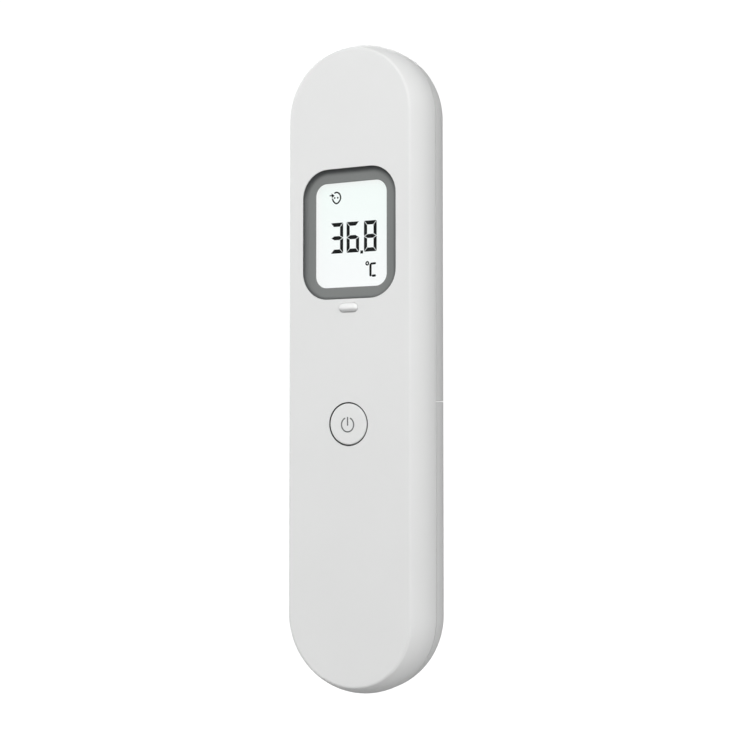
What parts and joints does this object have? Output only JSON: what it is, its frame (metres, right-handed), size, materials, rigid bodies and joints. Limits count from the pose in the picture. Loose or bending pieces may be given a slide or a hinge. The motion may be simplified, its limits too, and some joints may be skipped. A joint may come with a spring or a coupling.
{
  "type": "digital thermometer",
  "caption": "Slim hand-held non-contact digital thermometer with a recessed backlit display, an indicator light, a round power button, an infrared sensor horn and a slide-off battery door.",
  "frame": {"origin": "middle of the bounding box of the whole thermometer", "axes": "+Z along the length towards the sensor end, -Y out of the display face, +X to the right as the display is read"},
  "size_m": [0.0358, 0.0192, 0.15],
  "materials": {
    "white_shell": "satin white moulding, fine texture",
    "button_white": "satin white",
    "window_grey": "satin grey",
    "clear_lens": "clear polished window",
    "display_glass": "backlit display glass",
    "inner_plastic": "plain moulded",
    "light_guide": "frosted clear",
    "led_white": "moulded chip",
    "zebra_rubber": "striped conductive rubber",
    "light_pipe": "translucent white",
    "black_plastic": "moulded",
    "plunger_plastic": "moulded",
    "board_green": "solder mask",
    "tin_plate": "tin plated can",
    "ceramic_tan": "fired chip",
    "ceramic_black": "fired chip",
    "can_nickel": "nickel plated",
    "filter_silicon": "coated silicon window",
    "gold_pin": "gold plated",
    "sleeve_brass": "turned",
    "gasket_rubber": "moulded",
    "cone_black": "smooth black",
    "ring_chrome": "bright plated",
    "cell_jacket": "printed sleeve",
    "contact_nickel": "nickel plated",
    "screw_steel": "zinc plated"
  },
  "bodies": {
    "housing": {"backlight_guide": "light_guide", "backlight_leds": "led_white", "battery_left": "cell_jacket", "battery_right": "cell_jacket", "board_screws": "screw_steel", "bridge_spring": "contact_nickel", "buzzer": "black_plastic", "case_screws": "screw_steel", "chip_capacitors": "ceramic_tan", "chip_resistors": "ceramic_black", "contact_bridge": "contact_nickel", "contact_negative": "contact_nickel", "contact_positive": "contact_nickel", "crystal": "tin_plate", "display_lens": "clear_lens", "front_cover": "white_shell", "indicator_led": "led_white", "indicator_light_pipe": "light_pipe", "lcd_cell": "display_glass", "lcd_holder": "inner_plastic", "main_board": "board_green", "memory_chip": "black_plastic", "microcontroller": "black_plastic", "negative_spring": "contact_nickel", "rear_cover": "white_shell", "sensor_can": "can_nickel", "sensor_cone": "cone_black", "sensor_filter": "filter_silicon", "sensor_gasket": "gasket_rubber", "sensor_pins": "gold_pin", "sensor_ring": "ring_chrome", "sensor_sleeve": "sleeve_brass", "switch_body": "black_plastic", "window_frame": "window_grey", "zebra_strips": "zebra_rubber"},
    "button": {"power_button": "button_white"},
    "plunger": {"switch_plunger": "plunger_plastic"},
    "door": {"battery_door": "white_shell"}
  },
  "joints": [
    {"name": "button_press", "type": "slide", "parent": "housing", "child": "button", "axis": [0, 1, 0], "range_m": [0, 0.0004], "stiffness_N_per_m": 500},
    {"name": "plunger_press", "type": "slide", "parent": "housing", "child": "plunger", "axis": [0, 1, 0], "range_m": [0, 0.0004]},
    {"name": "door_slide", "type": "slide", "parent": "housing", "child": "door", "axis": [0, 0, -1], "range_m": [0, 0.07]}
  ],
  "couplings": [
    {"joint": "plunger_press", "follows": "button_press", "ratio": 1}
  ]
}
